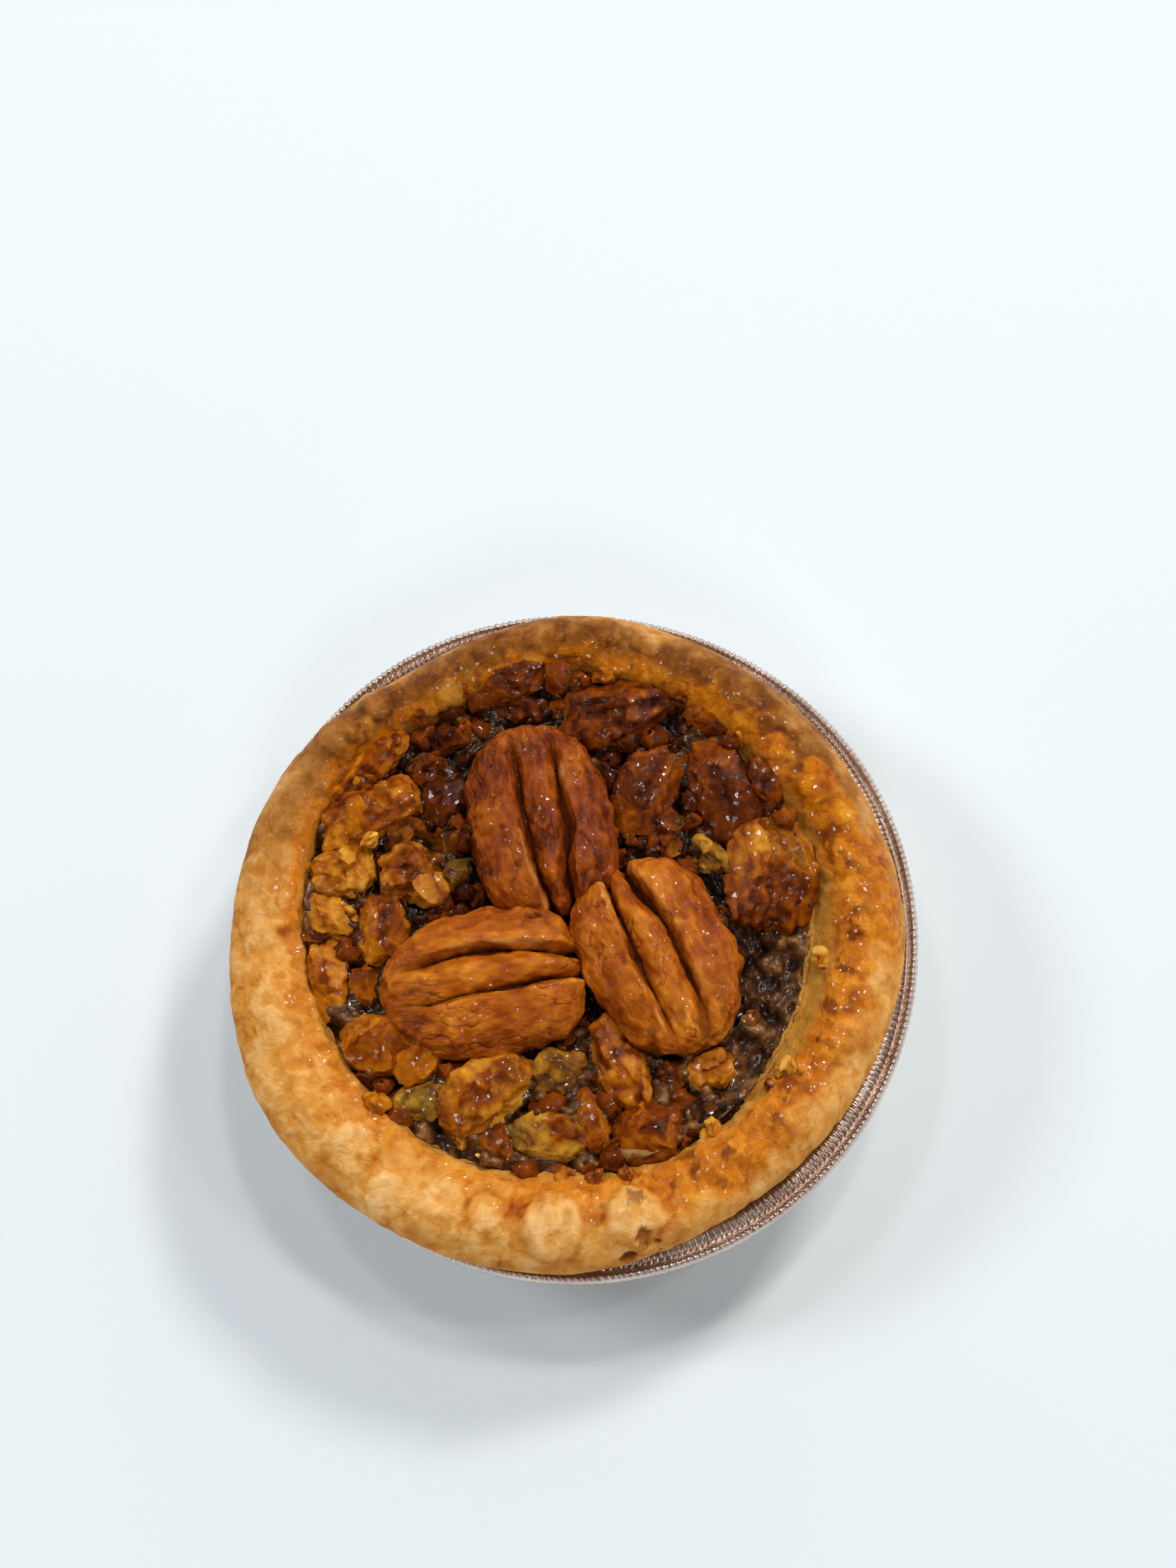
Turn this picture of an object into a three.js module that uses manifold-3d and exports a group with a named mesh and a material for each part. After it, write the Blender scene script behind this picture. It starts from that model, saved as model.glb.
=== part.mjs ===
// A small pecan pie in its own foil tin: a thick uneven pastry case, a sticky filling,
// three pecan halves and the broken nuts round them. Millimetres, +Z up, the tin on z = 0.
import * as THREE from 'three';
import * as BufferGeometryUtils from 'three/addons/utils/BufferGeometryUtils.js';
import Module from 'manifold-3d';

const wasm = await Module();
wasm.setup();

// Driving dimensions
const sides = 72; // facets round the tin, the pastry and the filling
const gap = 0.35; // between pieces that touch
const hollowRoom = 0.8; // round a half, whose hollow has fewer facets than it has
const tin = {
  rim: 44, // outer radius of the rolled bead
  bead: 0.9, // radius of the bead
  mouth: 39.6, // inner radius where the wall meets the flange
  foot: 31, // outer radius of the base
  wallTop: 20,
  flange: 21,
  top: 22,
  thick: 0.5,
  pleat: 0.45, // how far the pleats stand in and out
};
const pastry = {
  floor: 3.4, // top of the base crust
  cove: 1.1, // height of the rounding where the floor meets the wall
  clear: 0.6, // room between the pastry and the wall of the tin
  under: 22.4, // underside of the lip, just over the bead
  lip: 0.7, // how far the underside stays behind the reach
  crest: 27.8,
  mouthHeight: 26,
  heel: 27, // inner radius at the floor
  grain: 2.6, // length of the waves in its surface
  // reach of the lip and radius of the mouth, every 30 degrees from +X towards +Y
  reach: [42.4, 42.8, 42.9, 43.5, 41.7, 43.8, 43.9, 45.6, 44.3, 43.0, 40.8, 41.2],
  mouth: [32.8, 33.0, 33.7, 35.4, 34.4, 36.3, 35.0, 33.9, 33.4, 31.8, 31.8, 32.2],
  // how far the inner wall leans in down to the filling
  lean: [3.4, 2.4, 1.6, 1.2, 1.2, 1.2, 1.2, 1.2, 1.4, 1.8, 2.2, 2.8],
  // over the lip: share of the way from reach to mouth, drop under the crest, roll of the waves
  over: [
    { share: 0, drop: 3.8, roll: 0.3 },
    { share: 0.09, drop: 2.1, roll: 0.5 },
    { share: 0.27, drop: 0.7, roll: 0.6 },
    { share: 0.5, drop: 0, roll: 0.7 },
    { share: 0.76, drop: 0.4, roll: 0.6 },
  ],
  mouthRoll: 0.3,
};
const syrup = {
  level: 22.4,
  skin: 0.2, // how far its edge lies under the level
  roll: 0.5,
  grain: 2.1,
  rings: [0.9, 0.7, 0.46, 0.2], // shares of the radius
};
const half = {
  length: 26,
  width: 18.8,
  rise: 5.2,
  belly: 2.6,
  furrow: { depth: 0.34, place: 0.31, width: 0.12 }, // shares of the rise and of the half width
  narrowing: 0.07, // towards the tip
};

const halves = [
  { at: [-4.6, 14.3, 25.2], turn: -77, tilt: -3 },
  { at: [-11.7, -7.4, 25.0], turn: 11, tilt: 3 },
  { at: [10.6, -4.0, 25.3], turn: -64, tilt: -2 },
];

// Broken nuts: centre, then length, width and height, and the turn of the length in degrees
const chunks = [
  { at: [4.9, 28.9, 24.6], size: [14.2, 8.0, 5.2], turn: 14 },
  { at: [9.0, 18.6, 24.6], size: [12.4, 7.4, 5.2], turn: -117, taper: 0.3 },
  { at: [18.7, 19.4, 24.2], size: [14.8, 7.6, 4.8], turn: -67 },
  { at: [10.9, 13.1, 24.2], size: [7.2, 6.0, 4.8], turn: -82 },
  { at: [25.2, 7.4, 24.8], size: [14.2, 10.8, 5.6], turn: 80, taper: 0.2 },
  { at: [-27.0, 21.4, 25.0], size: [12.6, 4.6, 4.6], turn: 51 },
  { at: [-27.0, 15.6, 25.0], size: [13.2, 7.2, 5.6], turn: 26 },
  { at: [-22.4, 12.6, 24.4], size: [5.8, 5.2, 4.8], turn: 30 },
  { at: [-17.3, 17.3, 24.0], size: [7.6, 5.6, 4.4], turn: 58 },
  { at: [-15.9, 26.1, 24.2], size: [5.6, 4.4, 4.4], turn: 31 },
  { at: [-30.5, 7.1, 24.4], size: [8.8, 6.2, 5.0], turn: 19 },
  { at: [-31.3, 1.4, 24.2], size: [7.4, 5.8, 4.6], turn: -9, square: 3.4 },
  { at: [-24.6, -0.3, 24.4], size: [8.8, 6.6, 5.2], turn: 89 },
  { at: [-21.2, 5.9, 25.0], size: [9.4, 9.0, 6.2], turn: -26, square: 2.8 },
  { at: [-31.1, -6.9, 24.4], size: [9.6, 4.9, 4.8], turn: 96 },
  { at: [-25.5, -14.5, 24.8], size: [7.8, 7.4, 5.6], turn: -14, square: 4 },
  { at: [-19.7, -16.7, 24.6], size: [6.6, 5.8, 5.0], turn: 23 },
  { at: [-19.1, -21.8, 24.2], size: [6.8, 5.6, 4.6], turn: 30 },
  { at: [-10.8, -20.9, 25.0], size: [12.4, 8.4, 5.8], turn: 38, square: 2.6 },
  { at: [-9.8, -26.9, 24.0], size: [5.8, 4.2, 4.2], turn: -64 },
  { at: [-2.2, -18.6, 23.8], size: [8.4, 6.2, 4.2], turn: 10 },
  { at: [-3.6, -26.4, 24.2], size: [9.4, 6.4, 4.8], turn: 11, square: 2.8 },
  { at: [1.8, -24.4, 24.4], size: [7.4, 4.0, 4.4], turn: -74, taper: 0.4 },
  { at: [5.7, -17.8, 24.4], size: [12.4, 6.2, 4.8], turn: -63 },
  { at: [9.2, -25.6, 24.6], size: [8.4, 7.2, 5.2], turn: 14, square: 3.6 },
  { at: [16.7, -18.1, 24.2], size: [6.4, 4.8, 4.4], turn: 22 },
  { at: [17.4, -23.0, 23.6], size: [7.2, 5.2, 4.0], turn: 39 },
  { at: [-8.2, 33.2, 25.6], size: [8.8, 5.2, 4.6], turn: 16 },
  { at: [25.0, 20.0, 24.4], size: [6.6, 4.8, 4.4], turn: -75 },
  { at: [17.1, 9.7, 24.4], size: [5.8, 3.6, 4.2], turn: -56 },
  { at: [-27.0, -7.7, 24.2], size: [5.2, 4.0, 4.6], turn: -73 },
  { at: [-2.5, 34.2, 25.6], size: [5.0, 3.4, 4.2], turn: -85 },
  { at: [-7.2, 29.9, 24.2], size: [7.6, 3.8, 4.2], turn: 3 },
  { at: [-19.4, 21.2, 24.2], size: [5.2, 4.2, 4.4], turn: 5 },
  { at: [-15.4, 7.2, 24.2], size: [4.8, 3.4, 4.2], turn: 61 },
  { at: [-0.4, -14.6, 23.6], size: [4.4, 4.2, 4.0], turn: 27 },
  { at: [12.1, -18.9, 23.8], size: [5.6, 3.8, 4.0], turn: 38 },
];

// Crumbs stuck to the filling and to the lip of the pastry: centre and size
const crumbs = [
  { at: [24.2, 15.0, 23.0], size: 3.2 },
  { at: [-12.1, 4.9, 23.2], size: 3.6 },
  { at: [-16.6, 12.0, 22.8], size: 4.6 },
  { at: [13.6, -24.0, 22.8], size: 2.2 },
  { at: [22.0, -11.5, 22.6], size: 3.2 },
];
const pastryCrumbs = [
  { at: [-20.3, 28.7, 26.2], size: 3.2 },
  { at: [-15.6, 32.6, 26.6], size: 3.2 },
  { at: [26.6, -18.2, 26.0], size: 3.2 },
  { at: [31.4, -3.5, 25.4], size: 2.6 },
];
const crumbWidth = 0.8; // share of its length
const crumbTurn = 47; // degrees from one crumb to the next

// The rings of a broken nut: height and reach as shares of its half sizes
const nutRings = [
  { height: -0.72, reach: 0.66 },
  { height: -0.1, reach: 1 },
  { height: 0.68, reach: 0.8 },
];
const nut = { facets: 8, square: 2.6, least: 0.96, spread: 0.12, jolt: 0.16 };

function seeded(seed) {
  let state = seed;
  return () => {
    state = (state * 1664525 + 1013904223) % 4294967296;
    return state / 4294967296;
  };
}

// A closed skin over rings of equal length, from the first point to the last
function loft(first, rings, last) {
  const count = rings[0].length;
  const points = [first, ...rings.flat(), last];
  const at = (ring, side) => 1 + ring * count + (side % count);
  const end = rings.length - 1;
  const index = [];
  for (let side = 0; side < count; side += 1) {
    index.push(0, at(0, side + 1), at(0, side));
    for (let ring = 0; ring < end; ring += 1) {
      index.push(at(ring, side), at(ring, side + 1), at(ring + 1, side + 1));
      index.push(at(ring, side), at(ring + 1, side + 1), at(ring + 1, side));
    }
    index.push(at(end, side), at(end, side + 1), points.length - 1);
  }
  const geometry = new THREE.BufferGeometry().setFromPoints(points);
  geometry.setIndex(index);
  return geometry;
}

function solidOf(geometry) {
  const bare = geometry.clone();
  bare.deleteAttribute('normal');
  bare.deleteAttribute('uv');
  const merged = BufferGeometryUtils.mergeVertices(bare);
  return new wasm.Manifold(new wasm.Mesh({
    numProp: 3,
    vertProperties: new Float32Array(merged.attributes.position.array),
    triVerts: new Uint32Array(merged.index.array),
  }));
}

function geometryOf(solid) {
  const { vertProperties, triVerts } = solid.getMesh();
  const geometry = new THREE.BufferGeometry();
  geometry.setAttribute('position', new THREE.BufferAttribute(vertProperties, 3));
  geometry.setIndex(new THREE.BufferAttribute(triVerts, 1));
  return geometry;
}

// A smooth closed course through values spaced evenly round the pie
function around(values, angle) {
  const turns = (angle / (2 * Math.PI)) * values.length;
  const step = Math.floor(turns);
  const t = turns - step;
  const [before, here, next, after] = [-1, 0, 1, 2].map(
    (shift) => values[(step + shift + values.length) % values.length],
  );
  const leave = (next - before) / 2;
  const arrive = (after - here) / 2;
  return (2 * here - 2 * next + leave + arrive) * t ** 3
    + (3 * next - 3 * here - 2 * leave - arrive) * t ** 2 + leave * t + here;
}

// A gentle unevenness between -1 and 1 over the plan of the pie
function uneven(x, y, grain) {
  return (Math.sin(x / grain + 1.3) + Math.sin(y / grain * 1.17 + 0.4)
    + Math.sin((x + y) / grain * 0.73 + 2.1) * Math.cos((x - y) / grain * 0.61)) / 3;
}

function ringAt(radiusOf, heightOf) {
  return Array.from({ length: sides }, (_, side) => {
    const angle = (side / sides) * 2 * Math.PI;
    const radius = radiusOf(angle, side);
    const [x, y] = [radius * Math.cos(angle), radius * Math.sin(angle)];
    return new THREE.Vector3(x, y, heightOf(angle, x, y));
  });
}

// A ring that zigzags by a share of the pleats
function pleatedRing(radius, height, share) {
  return ringAt((angle, side) => radius + (side % 2 ? -1 : 1) * tin.pleat * share, () => height);
}

const plainRing = (radius, height) => ringAt(() => radius, () => height);
const onAxis = (height) => new THREE.Vector3(0, 0, height);

function makeTin() {
  const { rim, bead, mouth, foot, wallTop, flange, top, thick } = tin;
  // radius, height and share of the pleats, from under the base to inside it
  const course = [
    [foot - 1, 0, 0],
    [foot + 0.6, 0.8, 1],
    [mouth + thick, wallTop, 1],
    [mouth + 1.8, flange - thick, 0.2],
    [rim - bead, flange - 0.8, 0],
    [rim, flange + 0.1, 0],
    [rim - bead, top, 0],
    [rim - 2 * bead, flange, 0.2],
    [mouth + 1.4, flange + 0.2, 0.3],
    [mouth, wallTop, 1],
    [foot, 1.3, 1],
    [foot - 1.2, thick, 0],
  ];
  return loft(onAxis(0), course.map((station) => pleatedRing(...station)), onAxis(thick));
}

function makePastry() {
  const { clear, under, lip, crest, over, mouthHeight, mouthRoll, floor, cove, heel } = pastry;
  const reach = (angle) => around(pastry.reach, angle);
  const mouth = (angle) => around(pastry.mouth, angle);
  const edge = (angle) => mouth(angle) - around(pastry.lean, angle);
  const across = (share) => (angle) => THREE.MathUtils.lerp(reach(angle), mouth(angle), share);
  const rolling = (height, roll) => (angle, x, y) => height + roll * uneven(x, y, pastry.grain);
  const bottom = tin.thick + gap;
  return loft(onAxis(bottom), [
    plainRing(tin.foot - 3 * clear, bottom),
    pleatedRing(tin.foot - clear, bottom + 1, 1),
    pleatedRing(tin.mouth - clear, tin.wallTop + 0.3, 1),
    plainRing(tin.mouth - 0.2, tin.flange + 0.7),
    ringAt((angle) => THREE.MathUtils.lerp(tin.mouth, reach(angle), 0.55), () => under),
    ringAt((angle) => reach(angle) - lip, () => under + 0.3),
    ...over.map(({ share, drop, roll }) => ringAt(across(share), rolling(crest - drop, roll))),
    ringAt(across(1), rolling(mouthHeight, mouthRoll)),
    ringAt(edge, () => syrup.level),
    plainRing(heel, floor + cove),
    plainRing(heel - 1.5, floor),
  ], onAxis(floor));
}

function makeSyrup() {
  const { floor, cove, heel } = pastry;
  const edge = (angle) => around(pastry.mouth, angle) - around(pastry.lean, angle) - gap;
  const top = (share) => ringAt(
    (angle) => edge(angle) * share,
    (angle, x, y) => syrup.level + syrup.roll * uneven(x, y, syrup.grain),
  );
  return loft(onAxis(floor + gap), [
    plainRing(heel - 1.5 - gap, floor + gap),
    plainRing(heel - gap, floor + cove + gap),
    ringAt(edge, () => syrup.level - syrup.skin),
    ...syrup.rings.map(top),
  ], onAxis(syrup.level));
}

// Half a pecan, lying along X with its grooved back up; swell gives the hollow it lies in
function makeHalf(swell = 0) {
  const { length, width, rise, belly, furrow, narrowing } = half;
  const stations = swell ? 8 : 14;
  const facets = swell ? 14 : 20;
  const long = length / 2 + swell;
  const wide = width / 2 + swell;
  const rings = [];
  for (let station = 1; station < stations; station += 1) {
    const along = -Math.cos((station / stations) * Math.PI);
    const plump = Math.sqrt(1 - Math.abs(along) ** 3);
    const ring = [];
    for (let facet = 0; facet < facets; facet += 1) {
      const angle = (facet / facets) * 2 * Math.PI;
      const [out, up] = [Math.cos(angle), Math.sin(angle)];
      const away = (Math.abs(out) - furrow.place) / furrow.width;
      const sunk = swell ? 0 : furrow.depth * Math.exp(-(away ** 2));
      const tall = up > 0 ? (rise + swell) * (1 - sunk) : belly + swell;
      ring.push(new THREE.Vector3(
        along * long,
        out * wide * plump * (1 - narrowing * along),
        up * tall * plump ** 0.8,
      ));
    }
    rings.push(ring);
  }
  return loft(new THREE.Vector3(-long, 0, 0), rings, new THREE.Vector3(long, 0, 0));
}

// A broken nut: rounded or squarish in plan, narrower at one end by its taper
function makeChunk({ size, taper = 0, square = nut.square }, seed, swell = 0) {
  const { facets, least, spread, jolt } = nut;
  const random = seeded(seed);
  const [long, wide, tall] = size.map((length) => length / 2 + swell);
  const rings = nutRings.map(({ height, reach }) => Array.from({ length: facets }, (_, facet) => {
    const angle = (facet / facets) * 2 * Math.PI;
    const [c, s] = [Math.cos(angle), Math.sin(angle)];
    const corner = (Math.abs(c) ** square + Math.abs(s) ** square) ** (-1 / square);
    const radius = reach * corner * (least + spread * random());
    return new THREE.Vector3(
      long * radius * c,
      wide * radius * s * (1 - taper * radius * c),
      tall * (height + jolt * (random() - 0.5)),
    );
  }));
  return loft(onAxis(-tall), rings, onAxis(tall));
}

function placed(geometry, { at, turn = 0, tilt = 0 }) {
  const rotation = new THREE.Euler(
    THREE.MathUtils.degToRad(tilt), 0, THREE.MathUtils.degToRad(turn), 'ZYX',
  );
  return geometry.applyMatrix4(new THREE.Matrix4().compose(
    new THREE.Vector3(...at),
    new THREE.Quaternion().setFromEuler(rotation),
    new THREE.Vector3(1, 1, 1),
  ));
}

function crumbSolid({ at, size }, seed) {
  const crumb = makeChunk({ size: [size, size * crumbWidth, size * crumbWidth] }, seed);
  return solidOf(placed(crumb, { at, turn: seed * crumbTurn }));
}

const pie = new THREE.Group();

function addMesh(name, geometry, material) {
  const mesh = new THREE.Mesh(geometry, new THREE.MeshStandardMaterial(material));
  mesh.name = name;
  pie.add(mesh);
}

const foil = { color: 0xc9c5c2, roughness: 0.25, metalness: 1 };
const shortcrust = { color: 0xd9a662, roughness: 0.75 };
const caramel = { color: 0x3a2414, roughness: 0.3 };
const pecan = { color: 0x9a4f22, roughness: 0.45 };
const nutmeat = { color: 0xa9692f, roughness: 0.35 };

const withCrumbs = (solid, bits, firstSeed) => bits.reduce(
  (whole, bit, n) => whole.add(crumbSolid(bit, firstSeed + n)), solid,
);
const pastrySolid = withCrumbs(solidOf(makePastry()), pastryCrumbs, 1);
const syrupSolid = withCrumbs(solidOf(makeSyrup()), crumbs, 11);

// The halves lie deepest, and each nut is cut clear of those laid before it
const laid = [];
const cutClear = (solid) => laid.reduce((rest, taken) => rest.subtract(taken), solid);
function lay(name, form, hollow, material) {
  addMesh(name, geometryOf(cutClear(form)), material);
  laid.push(hollow);
}

halves.forEach((spot, n) => lay(
  `pecan_half_${n + 1}`,
  solidOf(placed(makeHalf(), spot)),
  solidOf(placed(makeHalf(hollowRoom), spot)),
  pecan,
));
chunks.forEach((spot, n) => lay(
  `pecan_chunk_${String(n + 1).padStart(2, '0')}`,
  solidOf(placed(makeChunk(spot, n + 31), spot)),
  solidOf(placed(makeChunk(spot, n + 31, gap), spot)),
  nutmeat,
));

addMesh('foil_tin', makeTin(), foil);
addMesh('crust', geometryOf(cutClear(pastrySolid)), shortcrust);
addMesh('filling', geometryOf(cutClear(syrupSolid)), caramel);

export default pie;
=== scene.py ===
import math
import random
from functools import partial

import bmesh
import bpy
import numpy as np
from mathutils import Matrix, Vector, noise


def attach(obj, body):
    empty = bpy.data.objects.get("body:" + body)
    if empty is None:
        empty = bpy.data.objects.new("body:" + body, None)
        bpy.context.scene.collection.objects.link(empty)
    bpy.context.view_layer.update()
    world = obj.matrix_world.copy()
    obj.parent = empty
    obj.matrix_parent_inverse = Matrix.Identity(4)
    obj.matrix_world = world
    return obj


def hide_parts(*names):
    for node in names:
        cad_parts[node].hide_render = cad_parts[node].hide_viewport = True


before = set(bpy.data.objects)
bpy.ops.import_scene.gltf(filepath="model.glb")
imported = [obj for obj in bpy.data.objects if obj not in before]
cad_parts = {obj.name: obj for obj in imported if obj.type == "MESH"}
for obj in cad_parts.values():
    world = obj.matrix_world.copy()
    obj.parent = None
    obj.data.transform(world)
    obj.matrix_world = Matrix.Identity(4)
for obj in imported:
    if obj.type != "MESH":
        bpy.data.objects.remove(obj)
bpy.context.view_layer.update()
mm = 0.001
print("frame loaded:", len(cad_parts), "nodes")


def hexColour(text):  # sRGB hex to linear
    channels = [int(text[i:i + 2], 16) / 255 for i in (0, 2, 4)]
    linear = [c / 12.92 if c <= 0.04045 else ((c + 0.055) / 1.055) ** 2.4 for c in channels]
    return (*linear, 1.0)


# adds one node: settings by name, input values, links into it, and stops of a colour ramp;
# a node among the links stands for its first output
def addNode(tree, kind, values=None, links=None, stops=None, **settings):
    node = tree.nodes.new(kind)
    for name, value in settings.items():
        setattr(node, name, value)
    for name, value in (values or {}).items():
        node.inputs[name].default_value = value
    for name, source in (links or {}).items():
        if isinstance(source, bpy.types.Node):
            source = source.outputs[0]
        tree.links.new(source, node.inputs[name])
    for n, (place, colour) in enumerate(stops or []):
        stop = node.color_ramp.elements[n] if n < 2 else node.color_ramp.elements.new(place)
        stop.position = place
        stop.color = hexColour(colour)
    return node


# a new material, what adds nodes to it, its object coordinates and the shares stored on the mesh
def startMaterial(name, *shares):
    material = bpy.data.materials.new(name)
    material.use_nodes = True
    material.node_tree.nodes.clear()
    add = partial(addNode, material.node_tree)
    stored = [add("ShaderNodeAttribute", attribute_name=share).outputs["Fac"] for share in shares]
    return material, add, add("ShaderNodeTexCoord").outputs["Object"], *stored


def finishMaterial(material, add, values, links):
    shader = add("ShaderNodeBsdfPrincipled", values, links)
    add("ShaderNodeOutputMaterial", links={"Surface": shader})
    return material


def addPatterns(add, shade, *patterns, lift=0):  # lays patterns over a shade, each by its weight
    for weight, pattern in patterns:
        shade = add("ShaderNodeMath", {1: weight}, {0: pattern, 2: shade}, operation="MULTIPLY_ADD")
    return add("ShaderNodeMath", {1: lift}, {0: shade}, operation="ADD") if lift else shade


# lays colours over each other, each by a share of the surface
def layColours(add, colour, *layers):
    for share, over, most in layers:
        amount = add("ShaderNodeMath", {1: most}, {0: share}, operation="MULTIPLY")
        values, links = {}, {"Factor": amount, 6: colour}
        if isinstance(over, str):
            values[7] = hexColour(over)
        else:
            links[7] = over
        colour = add("ShaderNodeMix", values, links, data_type="RGBA").outputs[2]
    return colour


# tiny flat facets of set sugar, each leaning its own way, of which only some are shiny
def addGlitter(add, coords, size, lean, shiny, dull, wet=None):
    flats = add("ShaderNodeTexVoronoi", {"Scale": 1 / (size * mm)}, {"Vector": coords}).outputs
    chance = add("ShaderNodeVectorMath", {1: (0.5, 0.5, 0.5)}, {0: flats["Color"]},
                 operation="SUBTRACT")
    normal = add("ShaderNodeNewGeometry").outputs["Normal"]
    leaning = add("ShaderNodeVectorMath", {1: (lean, lean, lean)}, {0: chance, 2: normal},
                  operation="MULTIPLY_ADD")
    facet = add("ShaderNodeVectorMath", links={0: leaning}, operation="NORMALIZE")
    lot = add("ShaderNodeTexWhiteNoise", links={"Vector": flats["Position"]})
    picked = add("ShaderNodeMath", {1: shiny}, {0: lot}, operation="LESS_THAN")
    coat = add("ShaderNodeMapRange", {"To Min": dull}, {"Value": picked})
    if wet:  # how wet the surface is there
        coat = add("ShaderNodeMath", links={0: coat, 1: wet}, operation="MULTIPLY")
    return {"Coat Normal": facet, "Coat Weight": coat}


def smooth(low, high, value):
    t = np.clip((value - low) / (high - low), 0, 1)
    return t * t * (3 - 2 * t)


def placesIn(points, size, shift):  # each shift looks at another part of the pattern
    move = Vector((shift, shift * 0.7, shift * 1.3))
    return [Vector(p) / size + move for p in points]


def fractal(points, size, octaves=3, shift=0.0):  # about -1 to 1, with lumps of that size in mm
    places = placesIn(points, size, shift)
    return np.array([noise.fractal(place, 0.9, 2.0, octaves) for place in places])


def cells(points, size, shift=0.0):  # distance to the nearest cell centre, in cells
    return np.array([noise.voronoi(place)[0][0] for place in placesIn(points, size, shift)])


# closed skins over rings of points in mm, each with its first and last point
def loftMesh(name, *skins):
    points, faces, start = [], [], 0
    for rings, first, last in skins:
        count, sides = rings.shape[:2]
        at = start + 1 + np.arange(count * sides).reshape(count, sides)
        nextAt = np.roll(at, -1, axis=1)
        end = start + count * sides + 1
        quads = np.stack([at[:-1], nextAt[:-1], nextAt[1:], at[1:]], axis=-1).reshape(-1, 4)
        faces += quads.tolist()
        faces += [[start, b, a] for a, b in zip(at[0].tolist(), nextAt[0].tolist())]
        faces += [[a, b, end] for a, b in zip(at[-1].tolist(), nextAt[-1].tolist())]
        points += [[first], rings.reshape(-1, 3), [last]]
        start = end + 1
    mesh = bpy.data.meshes.new(name)
    mesh.from_pydata((np.vstack(points) * mm).tolist(), [], faces)
    return mesh


def readRows(mesh, what):
    rows = np.empty(len(mesh.vertices) * 3)
    mesh.vertices.foreach_get(what, rows)
    return rows.reshape(-1, 3)


def pointsOf(mesh):
    return readRows(mesh, "co") / mm


def normalsOf(mesh):
    return readRows(mesh, "normal")


def movePoints(mesh, points):
    mesh.vertices.foreach_set("co", (points * mm).ravel())
    mesh.update()


def storeShares(mesh, **shares):
    for name, values in shares.items():
        layer = mesh.attributes.new(name, "FLOAT", "POINT")
        layer.data.foreach_set("value", np.clip(values, 0, 1).astype(np.float32))


def addObject(name, data):
    thing = bpy.data.objects.new(name, data)
    bpy.context.scene.collection.objects.link(thing)
    return thing


# puts the mesh in the scene as a smooth piece that stands for those solids
def finishPiece(mesh, material, slot, *nodes):
    mesh.materials.clear()
    mesh.materials.append(material)
    mesh.shade_smooth()
    piece = addObject(mesh.name, mesh)
    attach(piece, "root")
    if nodes:
        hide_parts(*nodes)
    return piece


def startTree(name, sizes):  # geometry in and out, and a named input for each size
    tree = bpy.data.node_groups.new(name, "GeometryNodeTree")
    for way in ("INPUT", "OUTPUT"):
        tree.interface.new_socket("Geometry", in_out=way, socket_type="NodeSocketGeometry")
    for key, value in sizes.items():
        kind = "NodeSocketInt" if isinstance(value, int) else "NodeSocketFloat"
        tree.interface.new_socket(key, in_out="INPUT", socket_type=kind)
    add = partial(addNode, tree)
    return tree, add, add("NodeGroupInput").outputs


# runs the tree over the mesh and gives the plain result, without the modifier
def growMesh(name, mesh, tree, sizes):
    holder = addObject(name, mesh)
    modifier = holder.modifiers.new("grow", "NODES")
    modifier.node_group = tree
    for item in tree.interface.items_tree:
        if item.in_out == "INPUT" and item.name in sizes:
            modifier[item.identifier] = sizes[item.name]
    graph = bpy.context.evaluated_depsgraph_get()
    grown = bpy.data.meshes.new_from_object(holder.evaluated_get(graph))
    bpy.data.objects.remove(holder)
    grown.name = name
    return grown


def glide(before, here, ahead, after, t):  # a smooth curve from here to ahead
    leave, arrive = (ahead - before) / 2, (after - here) / 2
    return ((2 * here - 2 * ahead + leave + arrive) * t ** 3
            + (3 * ahead - 3 * here - 2 * leave - arrive) * t ** 2 + leave * t + here)


def around(values, angle):  # a smooth closed course through values spaced evenly round the pie
    values = np.array(values)
    turns = (angle / (2 * math.pi)) % 1 * len(values)
    step = np.floor(turns).astype(int)
    return glide(*[values[(step + k) % len(values)] for k in (-1, 0, 1, 2)], turns - step)


def uneven(x, y, grain):  # the slow rise and fall that the solids have too
    return (np.sin(x / grain + 1.3) + np.sin(y / grain * 1.17 + 0.4)
            + np.sin((x + y) / grain * 0.73 + 2.1) * np.cos((x - y) / grain * 0.61)) / 3


# points round the pie, which roll up and down like the solids
def ringOf(angles, radius, height, roll=0.0, *, grain):
    radius = np.broadcast_to(radius, angles.shape)
    x, y = radius * np.cos(angles), radius * np.sin(angles)
    return np.stack([x, y, height + roll * uneven(x, y, grain)], axis=-1)


def resample(stations, count):  # a smooth curve through the stations, with count points on it
    last = len(stations) - 1
    place = np.linspace(0, last, count)
    step = np.clip(np.floor(place).astype(int), 0, last - 1)
    t = (place - step).reshape(-1, *[1] * (stations.ndim - 1))
    return glide(*[stations[np.clip(step + k, 0, last)] for k in (-1, 0, 1, 2)], t)


def turnedAxes(degrees):
    a = math.radians(degrees)
    return np.array([[math.cos(a), math.sin(a), 0], [-math.sin(a), math.cos(a), 0], [0, 0, 1]])


def nodeSpot(node, degrees):  # axes turned by that angle, centre and half sizes of a solid in mm
    turned = turnedAxes(degrees)
    local = pointsOf(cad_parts[node].data) @ turned.T
    low, high = local.min(axis=0), local.max(axis=0)
    return turned, (low + high) / 2, (high - low) / 2


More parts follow.
